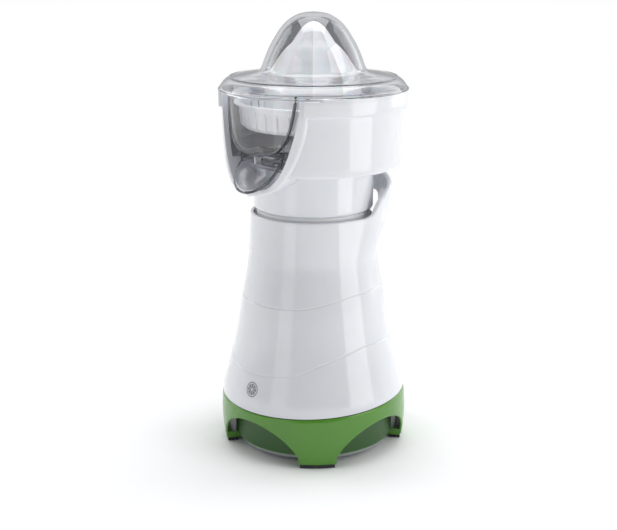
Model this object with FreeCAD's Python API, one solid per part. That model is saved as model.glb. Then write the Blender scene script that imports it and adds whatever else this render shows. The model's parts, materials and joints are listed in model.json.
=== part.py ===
import FreeCAD, Part
import math
import os
from FreeCAD import Vector

# Citrus press on its motor base.
# Millimetres, +Z up. The origin is on the spin axis at the level of the table.
# The spout points to -Y, and the wing with the finger hole is at +Y.
# Angles named phi are measured from the front (-Y) towards +X, in degrees.

# ---- driving dimensions -------------------------------------------------
FOOT_TOP = 3.0            # height of the rubber feet
SEAM_Z = 43.65            # height of the white and green seam, on the axis
SEAM_SLOPE = 0.055        # the seam rises towards the back
WAIST_Z = 151.0           # where the wing grows out of the base
RIM_Z = 186.0             # rim of the base at the front
WALL = 2.5                # moulded wall of the housings
FIT = 0.05                # radial clearance of a running fit

COLLAR_R = 46.0           # gearbox collar
BOWL_Z0 = 222.0           # underside of the bowl housing
BRIM_Z = 280.0            # rim of the bowl housing, where the lid sits
BRIM_R = 72.0
FLANGE_R = 69.8           # front face of the window flange
POD_TAPER = 0.85          # how much the spout shroud narrows towards the collar

SHAFT_R = 4.0             # motor shaft and output spindle
HEX_ACROSS = 7.0          # the spindle's drive, across its flats
PIN_R = 2.0               # idler pins
GEAR_Z = ((192.5, 197.0), (199.0, 204.0), (206.0, 212.0))  # the three stages
PINION_TEETH = 10
IDLER_A_TEETH = (48, 12)
IDLER_B_TEETH = (36, 12)
OUTPUT_TEETH = 48
MODULES = (0.8, 1.0, 0.8)
PRESSURE_ANGLE = math.radians(20)
BACKLASH = 0.16           # taken off each tooth's thickness at the pitch line

LEG_ANGLES = (45, 135, 225, 315)     # the four legs of the skirt
PLATE_SCREW_R = 57.0      # where the bottom plate's screws stand
PILLAR_R = 36.0           # where the motor's pillars stand
RING_LEG_R = 41.2         # where the start ring's legs and springs stand
SWITCH_ANGLE = 30         # the ring's leg that works the switch
SWITCH_HOLES = ((-7.5, 149.0), (1.8, 148.5))  # x from the leg, and z, of the switch's screws
BOLT_ANGLES = (0, 180)    # the motor's long bolts
BOLT_R = 31.0
POST_ANGLES = (95, 190, 0)  # the gearbox's screw posts
POST_R = 38.0
INLET_Z = 41.0            # height of the mains inlet

# Outer radius of the base at its heights: at the front, and up the rear wing.
FRONT_PROFILE = ((36, 72.6), (45.4, 71.9), (61.6, 68.1), (81.8, 62.9), (99, 59.6),
                 (120, 56.0), (137, 52.7), (WAIST_Z, 50.4), (165, 49.4), (RIM_Z, 48.7),
                 (222, 48.7))
WING_PROFILE = ((WAIST_Z, 50.4), (160, 52.4), (170, 54.3), (180, 55.5), (190, 57.4),
                (200, 59.4), (210, 60.3), (222, 59.6))
WING_FROM, WING_FULL = 72.0, 128.0   # phi where the wing starts and is full
WING_WALL = 4.0
# Edge of the rim seen from the side, as (y, z).
RIM_EDGE = ((3, RIM_Z), (9.5, 187.6), (13.5, 192), (18, 198.8), (29, 204.6), (46, 210.8),
            (75, 217.5))

# Half outlines of the front window, as (x, z): flange edge, opening, and clear bay.
FLANGE_OUTLINE = ((43.4, 280), (43.0, 264), (37.2, 238), (20.0, 212.3), (0, 206.8))
WINDOW_OUTLINE = ((40.7, 280), (35.8, 254), (26.2, 226), (14.0, 213.8), (0, 211.0))
BAY_OUTLINE = ((34.8, 280), (31.0, 258), (20.5, 241.2), (0, 236.0))
BAY_INSIDE = ((32.8, 280), (29.0, 258.5), (19.0, 243.0), (0, 238.0))
OUTLINE_TOP = 300.0       # the outlines run straight up to here, above the rim

# Spout scoop: an ellipsoid shell below a sloping rim plane.
SCOOP_CENTRE = Vector(0, -59, 229)
SCOOP_SLOPE = 47.0
SCOOP_HALF = (20.3, 25.2, 7.2)
SCOOP_WALL = 1.8
HINGE_Y, HINGE_Z = -51.0, 231.5
OUTLET_Y = -59.2          # outlet tube of the clear bowl, over the scoop

# Lid and cone outlines, as (r, z).
LID_DOME = ((0, 336.4), (11, 334.7), (20.4, 329), (29, 317.8), (35.4, 305.5), (40, 293))
LID_WALL = 1.8
CONE_TIP = ((0, 329.3), (6, 327), (12.3, 320), (17, 313))
CONE_BODY = ((17, 313), (24.2, 306.4), (30.5, 298), (35, 291), (36.8, 286))
CONE_FOOT = (40.0, 262.0)
CONE_RIBS = 10
STRAINER_SLOTS = 36


# ---- small helpers ------------------------------------------------------
def polar(phi, r):
    """The x and y of a point at angle phi from the front."""
    a = math.radians(phi)
    return r * math.sin(a), -r * math.cos(a)


def rod(r, z0, z1, x=0.0, y=0.0):
    return Part.makeCylinder(r, z1 - z0, Vector(x, y, z0))


def ring(r_in, r_out, z0, z1):
    return rod(r_out, z0, z1).cut(rod(r_in, z0 - 1, z1 + 1))


def box(x0, x1, y0, y1, z0, z1):
    return Part.makeBox(x1 - x0, y1 - y0, z1 - z0, Vector(x0, y0, z0))


def bar(r, x0, x1, y, z):
    """A round bar along X."""
    return Part.makeCylinder(r, x1 - x0, Vector(x0, y, z), Vector(1, 0, 0))


def hexagon(across, z0, z1):
    """A six-sided bar on the spin axis, by its width across the flats."""
    corner = across / math.sqrt(3)
    corners = [Vector(*polar(60 * i + 30, corner), z0) for i in range(7)]
    return Part.Face(Part.makePolygon(corners)).extrude(Vector(0, 0, z1 - z0))


def turned(shape, degrees):
    """The shape turned about the spin axis."""
    out = shape.copy()
    out.rotate(Vector(0, 0, 0), Vector(0, 0, 1), degrees)
    return out


def around(shape, count, start=0.0):
    """Copies of the shape spread evenly around the spin axis."""
    return [turned(shape, start + 360.0 * i / count) for i in range(count)]


def fused(shapes):
    out = shapes[0]
    if len(shapes) > 1:
        out = out.multiFuse(shapes[1:])
    return out.removeSplitter()


def cut_all(shape, tools):
    return shape.cut(Part.makeCompound(tools)) if tools else shape


def lathe(points):
    """A closed outline of (r, z) points turned about the spin axis."""
    corners = [Vector(r, 0, z) for r, z in points]
    face = Part.Face(Part.makePolygon(corners + corners[:1]))
    return face.revolve(Vector(0, 0, 0), Vector(0, 0, 1), 360)


def sector(r_in, r_out, z0, z1, phi, half):
    """A piece of a ring centred on angle phi, half degrees to each side."""
    outline = [Vector(r_in, 0, z0), Vector(r_out, 0, z0), Vector(r_out, 0, z1), Vector(r_in, 0, z1)]
    face = Part.Face(Part.makePolygon(outline + outline[:1]))
    face.rotate(Vector(0, 0, 0), Vector(0, 0, 1), phi - 90 - half)
    return face.revolve(Vector(0, 0, 0), Vector(0, 0, 1), 2 * half)


def curve(points):
    spline = Part.BSplineCurve()
    spline.interpolate(points)
    return spline.toShape()


def dome_solid(curves, base):
    """Smooth (r, z) stretches joined end to end, closed by straight lines, and turned."""
    edges = [curve([Vector(r, 0, z) for r, z in run]) for run in curves]
    path = [curves[-1][-1]] + list(base) + [curves[0][0]]
    for (r0, z0), (r1, z1) in zip(path, path[1:]):
        edges.append(Part.LineSegment(Vector(r0, 0, z0), Vector(r1, 0, z1)).toShape())
    return Part.Face(Part.Wire(edges)).revolve(Vector(0, 0, 0), Vector(0, 0, 1), 360)


def inset(points, wall):
    """The points of an open (r, z) outline moved inwards by the wall."""
    out = []
    for i, (r, z) in enumerate(points):
        (r0, z0), (r1, z1) = points[max(i - 1, 0)], points[min(i + 1, len(points) - 1)]
        length = math.hypot(r1 - r0, z1 - z0)
        out.append((max(r + wall * (z1 - z0) / length, 0.0), z - wall * (r1 - r0) / length))
    out[0] = (0.0, out[0][1]) if points[0][0] == 0 else out[0]
    return out


def interpolate(table, z):
    """A value between the rows of a (height, value) table."""
    for (z0, v0), (z1, v1) in zip(table, table[1:]):
        if z <= z1:
            return v0 + (v1 - v0) * (z - z0) / (z1 - z0)
    return table[-1][1]


# ---- base ---------------------------------------------------------------
def base_radius(phi, z, wall=0.0):
    """Outer radius of the base, less a wall that is thicker in the wing."""
    front = interpolate(FRONT_PROFILE, z)
    if z <= WAIST_Z:
        return front - wall
    turn = min(max((abs(phi) - WING_FROM) / (WING_FULL - WING_FROM), 0.0), 1.0)
    share = turn * turn * (3 - 2 * turn)
    extra = (WING_WALL - WALL) * share if wall else 0.0
    return front + share * (interpolate(WING_PROFILE, z) - front) - wall - extra


def base_section(z, wall):
    points = []
    for phi in range(-180, 180, 15):
        x, y = polar(phi, base_radius(phi, z, wall))
        points.append(Vector(x, y, z))
    spline = Part.BSplineCurve()
    spline.interpolate(points, PeriodicFlag=True)
    return Part.Wire([spline.toShape()])


def base_solid(wall):
    """The waisted body: one smooth stretch below the waist and one above it."""
    stretches = []
    for table in (FRONT_PROFILE[:8], WING_PROFILE):
        sections = [base_section(z, wall) for z, _ in table]
        stretches.append(Part.makeLoft(sections, True, False))
    return stretches[0].fuse(stretches[1])


def above_rim():
    """Everything over the rim's edge, which sweeps up to the wing."""
    edge = [Vector(-90, y, z) for y, z in RIM_EDGE]
    (y0, z0), (y1, z1) = RIM_EDGE[0], RIM_EDGE[-1]
    corners = [Vector(-90, y1, z1), Vector(-90, y1, 260), Vector(-90, -90, 260),
               Vector(-90, -90, z0), Vector(-90, y0, z0)]
    edges = [curve(edge)]
    edges += [Part.LineSegment(a, b).toShape() for a, b in zip(corners, corners[1:])]
    return Part.Face(Part.Wire(edges)).extrude(Vector(180, 0, 0))


def below_seam():
    """A block under the sloping seam between the shell and the skirt."""
    block = box(-120, 120, -120, 120, -150, 0)
    block.rotate(Vector(0, 0, 0), Vector(1, 0, 0), math.degrees(math.atan(SEAM_SLOPE)))
    block.translate(Vector(0, 0, SEAM_Z))
    return block


def finger_hole():
    """A rounded slot through the wing, wide enough for two fingers."""
    slot = box(-25, 25, 38, 80, 177, 196)
    corners = [e for e in slot.Edges if abs(e.tangentAt(e.FirstParameter).y) > 0.99]
    return slot.makeFillet(8, corners)


def base_shell():
    ledge = ring(45.6, 80, 172, 175)
    cavity = base_solid(WALL).cut(ledge)
    shell = base_solid(0).cut(cavity)
    return cut_all(shell, [above_rim(), below_seam(), finger_hole()])


def arch(direction):
    """A half-round opening of the skirt between two legs, cut through the outer wall only."""
    tube = Part.Ellipse(Vector(0, 0, 0), 40.5, 32).toShape()
    face = Part.Face(Part.Wire([tube]))
    prism = face.extrude(Vector(0, 0, 90))
    prism.rotate(Vector(0, 0, 0), Vector(1, 0, 0), 90)
    return turned(prism, direction)


def skirt():
    """Foot ring: an outer wall with four arches, a web, an inner wall and a lip inside the seam."""
    body = lathe(((60, FOOT_TOP), (71, FOOT_TOP), (72.5, 14), (73.2, 27), (72.6, 40), (71.2, 49), (60, 49)))
    hollow = ring(62.5, 70, -1, 36)
    above_web = rod(70, 38.5, 60)
    lip = ring(65, 67.5, 38, 51)
    arches = fused([arch(d) for d in (0, 90, 180, 270)]).common(ring(63, 80, -5, 40))
    body = cut_all(body, [hollow, above_web, arches])
    body = body.common(below_seam())
    soles = [sector(62, 70.4, FOOT_TOP, 7, phi, 12) for phi in LEG_ANGLES]
    seat = ring(54, 60.5, 7, 10)
    body = fused([body, lip, seat] + soles)
    inlet = Part.makeCylinder(4.0, 40, Vector(0, 50, INLET_Z), Vector(0, 1, 0))
    screws = [rod(1.5, 6, 11, *polar(phi, PLATE_SCREW_R)) for phi in LEG_ANGLES]
    return cut_all(body, [inlet] + screws)


def bottom_plate():
    plate = rod(59.9, 4, 7)
    pillars = [rod(5, 6, 66, *polar(phi, PILLAR_R)) for phi in LEG_ANGLES]
    slot = box(14, 30, -1.6, 1.6, 3, 8)
    screws = [rod(1.5, 3, 8, *polar(phi, PLATE_SCREW_R)) for phi in LEG_ANGLES]
    return cut_all(fused([plate] + pillars), around(slot, 12, 15) + screws)


def rubber_feet():
    return Part.makeCompound([sector(62, 70, 0, FOOT_TOP, phi, 11) for phi in LEG_ANGLES])


def pan_screw(x, y, z, length, down=True, head=2.8, shank=1.5):
    """A pan-head screw whose head's flat side is at z, the shank going down or up."""
    side = -1 if down else 1
    ends = sorted((z, z + side * length))
    crown = sorted((z, z - side * 1.8))
    body = rod(shank, ends[0], ends[1], x, y).fuse(rod(head, crown[0], crown[1], x, y))
    top = z - side * 1.8
    slot = sorted((top, top + side * 0.9))
    cross = box(x - 1.7, x + 1.7, y - 0.35, y + 0.35, *slot).fuse(
        box(x - 0.35, x + 0.35, y - 1.7, y + 1.7, *slot))
    return body.cut(cross)


def base_screws():
    places = [polar(phi, PLATE_SCREW_R) for phi in LEG_ANGLES]
    return Part.makeCompound([pan_screw(x, y, 4, 6, down=False) for x, y in places])


def cord_gland():
    """The bush of the mains inlet, with the hole for the lead."""
    neck = Part.makeCylinder(4.0, 18, Vector(0, 56, INLET_Z), Vector(0, 1, 0))
    rim = Part.makeCylinder(6.0, 3.1, Vector(0, 73.1, INLET_Z), Vector(0, 1, 0))
    hole = Part.makeCylinder(2.9, 30, Vector(0, 50, INLET_Z), Vector(0, 1, 0))
    return neck.fuse(rim).removeSplitter().cut(hole)


def deck():
    """The well in the top of the base, with a channel for the start ring."""
    body = lathe(((8.2, 164), (38, 164), (38, 170), (46.4, 170), (46.4, 172), (45.5, 172), (45.5, 183.5),
                  (44.3, 183.5), (44.3, 172), (38, 172), (38, 181), (36.5, 181), (36.5, 166), (8.2, 166)))
    keys = [sector(34, 37, 165, 180, phi, 3.5) for phi in (60, 180, 300)]
    legs = [rod(1.75, 169, 173, *polar(phi, RING_LEG_R)) for phi in (30, 150, 270)]
    return cut_all(fused([body] + keys), legs)


def deck_seal():
    return lathe(((4.3, 164.4), (4.8, 163), (10, 163), (10, 164), (8.2, 164), (8.2, 166.2), (4.3, 166.2)))


def start_ring():
    """The sprung ring that the press head pushes down to start the motor."""
    body = lathe(((38.4, 176), (44.0, 176), (44.0, 188), (43.0, 189), (39.4, 189), (38.4, 188)))
    pockets = [rod(2.4, 175, 182, *polar(phi, RING_LEG_R)) for phi in (90, 210, 330)]
    body = cut_all(body, pockets)
    legs = []
    for phi in (30, 150, 270):
        x, y = polar(phi, RING_LEG_R)
        foot = 160.0 if phi == SWITCH_ANGLE else 168.0
        legs += [rod(1.5, foot, 177, x, y), rod(2.2, 168, 169.8, x, y)]
    return fused([body] + legs)


def start_springs():
    """Three compression springs in the ring's pockets."""
    coils = []
    for phi in (90, 210, 330):
        x, y = polar(phi, RING_LEG_R)
        path = Part.makeHelix(1.8, 9.2, 1.7)
        section = Part.Wire([Part.Circle(Vector(1.7, 0, 0), Vector(0, 1, 0), 0.32).toShape()])
        coil = Part.Wire(path.Edges).makePipeShell([section], True, True)
        coil.translate(Vector(x, y, 172.4))
        coils.append(coil)
    return Part.makeCompound(coils)


def micro_switch():
    """The starting switch, hung on the deck's underside beside the ring's long leg."""
    x, y = polar(SWITCH_ANGLE, RING_LEG_R)
    case = box(x - 10, x + 4, y - 1.5, y + 5.5, 146, 157)
    tab = box(x - 9, x - 6, y - 1.5, y + 5.5, 156, 164)
    pocket = box(x - 1.8, x + 1.8, y - 1.1, y + 1.1, 151, 158)
    back = Vector(0, 1, 0)
    holes = [Part.makeCylinder(1.2, 12, Vector(x + dx, y - 3, z), back) for dx, z in SWITCH_HOLES]
    return cut_all(fused([case, tab]), [pocket] + holes)


def switch_screws():
    """Two short screws that close the switch's case."""
    x, y = polar(SWITCH_ANGLE, RING_LEG_R)
    screws = []
    for dx, z in SWITCH_HOLES:
        shank = Part.makeCylinder(1.2, 6.5, Vector(x + dx, y - 1.5, z), Vector(0, 1, 0))
        head = Part.makeCylinder(2.0, 1.2, Vector(x + dx, y - 2.7, z), Vector(0, 1, 0))
        screws.append(shank.fuse(head))
    return Part.makeCompound(screws)


def switch_button():
    x, y = polar(SWITCH_ANGLE, RING_LEG_R)
    return box(x - 1.5, x + 1.5, y - 0.9, y + 0.9, 154, 160)


# ---- motor --------------------------------------------------------------
def lower_bracket():
    """Four-armed bracket on the rubber mounts, with the lower bearing's seat."""
    arms = [turned(box(-6, 6, -42, 42, 70, 74), a) for a in (45, 135)]
    body = fused(arms + [rod(34, 70, 74), rod(11, 66.5, 75)])
    bolts = [rod(1.8, 69, 75, *polar(phi, BOLT_R)) for phi in BOLT_ANGLES]
    mounts = [rod(2.5, 65, 80, *polar(phi, PILLAR_R)) for phi in LEG_ANGLES]
    return cut_all(body, [rod(8, 60, 80)] + bolts + mounts)


def upper_bracket():
    body = fused([rod(34, 140, 143.5), rod(11, 138, 149)])
    bolts = [rod(1.8, 139, 145, *polar(phi, BOLT_R)) for phi in BOLT_ANGLES]
    return cut_all(body, [rod(8, 130, 160)] + bolts)


def lower_bearing():
    return ring(SHAFT_R + FIT, 8, 67, 75)


def upper_bearing():
    return ring(SHAFT_R + FIT, 8, 139, 148)


def motor_dampers():
    """Rubber bushes between the pillars and the bracket, with a neck through it."""
    plugs = []
    for phi in LEG_ANGLES:
        x, y = polar(phi, PILLAR_R)
        plugs.append(rod(5, 66, 70, x, y).fuse(rod(2.5, 69, 76, x, y)))
    return Part.makeCompound(plugs)


def motor_bolts():
    bolts = []
    for phi in BOLT_ANGLES:
        x, y = polar(phi, BOLT_R)
        shank, head, nut = rod(1.8, 69, 144.5, x, y), rod(3.4, 143.5, 146, x, y), rod(3.2, 67.8, 70, x, y)
        bolts.append(fused([shank, head, nut]))
    return Part.makeCompound(bolts)


def field_core():
    """Laminated stator: a yoke and two poles facing the armature."""
    yoke = ring(23.8, 28, 94, 128)
    poles = [sector(17, 24.2, 94, 128, phi, 50) for phi in (90, 270)]
    return fused([yoke] + poles)


def field_coils():
    """Two windings, each a frame around its pole."""
    coils = []
    for phi in (90, 270):
        block = sector(18, 23.6, 86, 136, phi, 72)
        coils.append(block.cut(sector(16, 25, 93.5, 128.5, phi, 51.5)))
    return Part.makeCompound(coils)


def armature():
    """Slotted rotor stack with its winding ends."""
    stack = ring(SHAFT_R, 16.4, 94, 128)
    slot = box(13.2, 17, -0.9, 0.9, 93, 129)
    ends = fused([ring(SHAFT_R, 13.5, 87, 94), ring(SHAFT_R, 13.5, 128, 135)])
    return fused([cut_all(stack, around(slot, 12)), ends])


def commutator():
    body = ring(SHAFT_R, 9, 77, 86)
    groove = box(8.2, 10, -0.25, 0.25, 76, 87)
    return cut_all(body, around(groove, 12))


def brush_holders():
    """Two brass tubes at the sides of the commutator, on feet of the lower bracket."""
    holders = []
    for side in (1, -1):
        tube = box(-4, 4, 12, 26, 77.5, 84.5).cut(box(-3, 3, 11, 25, 78.5, 83.5))
        foot = box(-4, 4, 20, 26, 74, 77.5)
        holder = fused([tube, foot])
        holders.append(holder if side == 1 else turned(holder, 180))
    return Part.makeCompound(holders)


def carbon_brushes():
    brush = box(-2.9, 2.9, 9.2, 21, 78.6, 83.4)
    return Part.makeCompound([brush, turned(brush, 180)])


def fan():
    """Radial blower under the lower bracket."""
    hub = ring(SHAFT_R, 8, 54, 64)
    disc = ring(7, 26, 62.4, 64)
    blade = box(7, 25.5, -0.8, 0.8, 54.5, 63)
    return fused([hub, disc] + around(blade, 9))


def motor_shaft():
    return fused([rod(SHAFT_R, 52, 170), rod(2.6, 169, 172.5)])


def dog_disc(z0, z1, dog_z, start):
    """A coupling disc with six dogs."""
    dogs = [sector(7.4, 13, dog_z[0], dog_z[1], start + 60 * i, 12) for i in range(6)]
    return [ring(2.6, 13, z0, z1)] + dogs


def drive_coupling():
    parts = dog_disc(167.5, 170.5, (170, 177), 0) + [ring(2.6, 6, 170.5, 172.5)]
    return fused(parts).cut(rod(SHAFT_R, 160, 170))


# ---- gears --------------------------------------------------------------
def tooth_outline(teeth, module, phase):
    """Involute outline of a spur gear, with a tooth centred on the phase angle."""
    pitch = module * teeth / 2
    tip, root, circle = pitch + 0.9 * module, pitch - 1.2 * module, pitch * math.cos(PRESSURE_ANGLE)
    spread = math.tan(PRESSURE_ANGLE) - PRESSURE_ANGLE
    half = (math.pi * module / 2 - BACKLASH) / 2 / pitch + spread
    foot = max(circle, root)
    flank = [] if foot == root else [(root, half)]
    for i in range(3):
        r = foot + (tip - foot) * i / 2
        roll = math.acos(circle / r) if r > circle else 0.0
        flank.append((r, half - math.tan(roll) + roll))
    points = []
    for k in range(teeth):
        centre = phase + 2 * math.pi * k / teeth
        for side, run in ((-1, flank), (1, flank[::-1])):
            for r, h in run:
                angle = centre + side * h
                points.append(Vector(r * math.cos(angle), r * math.sin(angle), 0))
    return points


def gear(teeth, module, phase, z, place, bore):
    points = tooth_outline(teeth, module, phase)
    blank = Part.Face(Part.makePolygon(points + points[:1])).extrude(Vector(0, 0, z[1] - z[0]))
    blank.translate(Vector(place[0], place[1], z[0]))
    return blank.cut(rod(bore, z[0] - 1, z[1] + 1, *place)) if bore else blank


def mesh_phase(phase, teeth, other_teeth, direction):
    """Phase of a gear whose gap faces the tooth of its neighbour in that direction."""
    return direction + math.pi + ((direction - phase) * teeth - math.pi) / other_teeth


def gear_layout():
    """Centres and phases of the train, from the output gear down to the pinion."""
    first = MODULES[0] * (PINION_TEETH + IDLER_A_TEETH[0]) / 2
    second = MODULES[1] * (IDLER_A_TEETH[1] + IDLER_B_TEETH[0]) / 2
    third = MODULES[2] * (IDLER_B_TEETH[1] + OUTPUT_TEETH) / 2
    angle_a = math.radians(150)
    angle_b = angle_a + math.acos((first ** 2 + third ** 2 - second ** 2) / (2 * first * third))
    a = (first * math.cos(angle_a), first * math.sin(angle_a))
    b = (third * math.cos(angle_b), third * math.sin(angle_b))
    b_to_a = math.atan2(a[1] - b[1], a[0] - b[0])
    b_small = mesh_phase(0.0, OUTPUT_TEETH, IDLER_B_TEETH[1], angle_b)
    a_small = mesh_phase(0.0, IDLER_B_TEETH[0], IDLER_A_TEETH[1], b_to_a)
    pinion = mesh_phase(0.0, IDLER_A_TEETH[0], PINION_TEETH, angle_a + math.pi)
    return a, b, a_small, b_small, pinion


IDLER_A, IDLER_B, PHASE_A, PHASE_B, PHASE_PINION = gear_layout()


def idler(teeth, modules, small_phase, stages, place):
    """A large and a small gear on one hub, running on its pin."""
    bore = PIN_R + FIT
    low, high = stages
    first = gear(teeth[0], modules[0], 0.0, GEAR_Z[low], place, bore)
    second = gear(teeth[1], modules[1], small_phase, GEAR_Z[high], place, bore)
    hub = rod(3.9, GEAR_Z[low][1] - 0.1, GEAR_Z[high][0] + 0.1, *place)
    return fused([first, second, hub.cut(rod(bore, 180, 230, *place))])


def idler_a():
    return idler(IDLER_A_TEETH, MODULES[:2], PHASE_A, (0, 1), IDLER_A)


def idler_b():
    return idler(IDLER_B_TEETH, MODULES[1:], PHASE_B, (1, 2), IDLER_B)


def idler_pins():
    return Part.makeCompound([rod(PIN_R, 190, 221, *place) for place in (IDLER_A, IDLER_B)])


def input_coupling():
    parts = dog_disc(181, 183.5, (173.6, 181.2), 30)
    return fused(parts)


def input_pinion():
    """The pinion with its shaft, which carries the upper half of the coupling."""
    teeth = gear(PINION_TEETH, MODULES[0], PHASE_PINION, GEAR_Z[0], (0, 0), 0)
    return fused([teeth, rod(2.6, 181, 193), rod(3.0, 185.5, 191.8)])


def input_bearing():
    return ring(3.0 + FIT, 5.5, 186.5, 191.5)


def output_gear():
    teeth = gear(OUTPUT_TEETH, MODULES[2], 0.0, GEAR_Z[2], (0, 0), SHAFT_R)
    lightening = [rod(3.4, 200, 209.5, *polar(60 * i, 11.5)) for i in range(6)]
    return cut_all(teeth, lightening)


def spindle():
    """The upright drive: round in its bush, six-sided in the cone."""
    drive = hexagon(HEX_ACROSS, 264, 300)
    return fused([rod(SHAFT_R, 205.5, 265), rod(6, 263.5, 266), drive])


def spindle_bush():
    return ring(SHAFT_R + FIT, 6.5, 213, 240)


# ---- press head ---------------------------------------------------------
def gearbox_case():
    """The collar with its gear space, and the plug that fits the well."""
    collar = lathe(((33.3, 172), (35.5, 172), (35.5, 189), (44.4, 189), (46, 190.8), (46, 222), (43.8, 222),
                    (43.8, 191.5), (5.5, 191.5), (5.5, 189), (33.3, 189)))
    boss = ring(5.5, 8, 186.5, 190)
    posts = [rod(3.5, 191, 219, *polar(phi, POST_R)) for phi in POST_ANGLES]
    seats = [rod(3.4, 191, 192.2, *place) for place in (IDLER_A, IDLER_B)]
    keyways = [sector(32, 36.5, 170, 186, phi, 5.5) for phi in (60, 180, 300)]
    screws = [rod(1.5, 205, 220, *polar(phi, POST_R)) for phi in POST_ANGLES]
    pins = [rod(PIN_R, 190, 195, *place) for place in (IDLER_A, IDLER_B)]
    return cut_all(fused([collar, boss] + posts + seats), keyways + screws + pins)


def gearbox_cover():
    """Plate over the gears with a tall hub for the spindle's bush."""
    plate = rod(43.7, 219, BOWL_Z0)
    hub = rod(8.0, 213, 237.5)
    screws = [rod(1.5, 218, 223, *polar(phi, POST_R)) for phi in POST_ANGLES]
    pins = [rod(PIN_R, 200, 221, *place) for place in (IDLER_A, IDLER_B)]
    stop = rod(3.4, 212.4, 220, *IDLER_B)
    return cut_all(fused([plate, hub, stop]), [rod(6.5, 200, 250)] + screws + pins)


def gearbox_screws():
    """Three long screws that hold housing, cover and case together."""
    screws = [pan_screw(*polar(phi, POST_R), BOWL_Z0 + WALL, 19.5) for phi in POST_ANGLES]
    return Part.makeCompound(screws)


def u_wire(half, y, scale=1.0, pivot=226.0):
    """A U-shaped outline across the front, mirrored about the middle, at one y."""
    right = [(x * scale, pivot + (z - pivot) * scale) for x, z in half]
    left = [(-x, z) for x, z in right[:-1]]
    points = [Vector(x, y, z) for x, z in left + right[::-1]]
    top = [points[-1], Vector(points[-1].x, y, OUTLINE_TOP), Vector(points[0].x, y, OUTLINE_TOP), points[0]]
    edges = [curve(points)] + [Part.LineSegment(a, b).toShape() for a, b in zip(top, top[1:])]
    return Part.Wire(edges)


def u_block(half, y0, y1, taper=1.0):
    """A U-shaped block from the front at y0 back to y1, narrowing by the taper."""
    return Part.makeLoft([u_wire(half, y0), u_wire(half, y1, taper)], True, True)


def bowl_outside():
    return lathe(((30, BOWL_Z0), (63.6, BOWL_Z0), (65.6, 223), (66.6, 225.5), (67.9, 262), (68, 267.5),
                  (BRIM_R - 0.5, 267.5), (BRIM_R, 268.2), (BRIM_R, BRIM_Z), (30, BRIM_Z))).fuse(
                      rod(31, BOWL_Z0, BRIM_Z))


def bowl_inside():
    return lathe(((0, BOWL_Z0 + WALL), (61.5, BOWL_Z0 + WALL), (64, 227.5), (65.4, 262), (66, 290), (0, 290)))


def housing():
    """White bowl with the window flange, the spout shroud and the lid's front recess."""
    bowl = bowl_outside()
    pod = u_block(FLANGE_OUTLINE, -74, -38, POD_TAPER).common(rod(FLANGE_R, 200, BRIM_Z))
    band_gap = u_block(FLANGE_OUTLINE, -90, -50).common(ring(FLANGE_R, 90, 200, 290))
    recess = sector(70, 74, BRIM_Z - 1.4, BRIM_Z + 1, 0, 48)
    opening = u_block(WINDOW_OUTLINE, -92, -42)
    spindle_hole = rod(12, 220, 230)
    screws = [rod(1.5, 220, 226, *polar(phi, POST_R)) for phi in POST_ANGLES]
    collar = rod(COLLAR_R, 200, BOWL_Z0)
    body = bowl.fuse(pod)
    return cut_all(body, [bowl_inside(), band_gap, recess, opening, spindle_hole, collar] + screws)


# ---- lift-off pieces ----------------------------------------------------
def juice_container():
    """Clear bowl with a chimney, a front bay, an outlet tube and two hinge lugs."""
    outside = lathe(((0, 238), (57.5, 238), (60, 239), (61.3, 241.5), (63.8, BRIM_Z), (68.6, BRIM_Z),
                     (68.6, 281.4), (0, 281.4)))
    ledge = lathe(((58.6, 267), (63, 264), (63, 269.5), (58.6, 269.5)))
    ledge = ledge.cut(sector(50, 70, 260, 275, 0, 40))
    bay = u_block(BAY_OUTLINE, -70, -44).common(rod(66, 200, BRIM_Z))
    bay_inside = u_block(BAY_INSIDE, -70, -46).common(rod(64.1, 200, 290))
    cavity = lathe(((10.3, 240), (56.5, 240), (58.2, 240.6), (59.3, 242.5), (61.8, 285), (0, 285),
                    (0, 262), (10.3, 262)))
    tube = rod(4, 230.5, 239, 0, OUTLET_Y)
    lugs = [box(x, x + 2.2, -54.5, -47.5, 228.4, 239) for x in (21.6, -23.8)]
    holes = [bar(1.5 + FIT, x - 1, x + 3.2, HINGE_Y, HINGE_Z) for x in (21.6, -23.8)]
    body = fused([outside, bay, tube] + lugs)
    body = body.cut(cavity.cut(ledge))
    return cut_all(body, [bay_inside, rod(8.5, 230, 270), rod(2.7, 220, 245, 0, OUTLET_Y)] + holes)


def ellipsoid(half):
    """The scoop's ellipsoid, lying along the slope."""
    ball = Part.makeSphere(1.0)
    slope = math.radians(SCOOP_SLOPE)
    along = Vector(0, -math.cos(slope), -math.sin(slope))
    under = Vector(0, math.sin(slope), -math.cos(slope))
    a, b, c = half
    matrix = FreeCAD.Matrix(a, along.x * b, under.x * c, SCOOP_CENTRE.x,
                            0, along.y * b, under.y * c, SCOOP_CENTRE.y,
                            0, along.z * b, under.z * c, SCOOP_CENTRE.z,
                            0, 0, 0, 1)
    return ball.transformGeometry(matrix)


def scoop_block(back):
    """The half space below the scoop's rim and in front of its back wall."""
    block = box(-40, 40, back, 60, 0, 40)
    slope = math.radians(SCOOP_SLOPE)
    along = Vector(0, -math.cos(slope), -math.sin(slope))
    under = Vector(0, math.sin(slope), -math.cos(slope))
    matrix = FreeCAD.Matrix(1, along.x, under.x, SCOOP_CENTRE.x,
                            0, along.y, under.y, SCOOP_CENTRE.y,
                            0, along.z, under.z, SCOOP_CENTRE.z,
                            0, 0, 0, 1)
    return block.transformGeometry(matrix)


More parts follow.
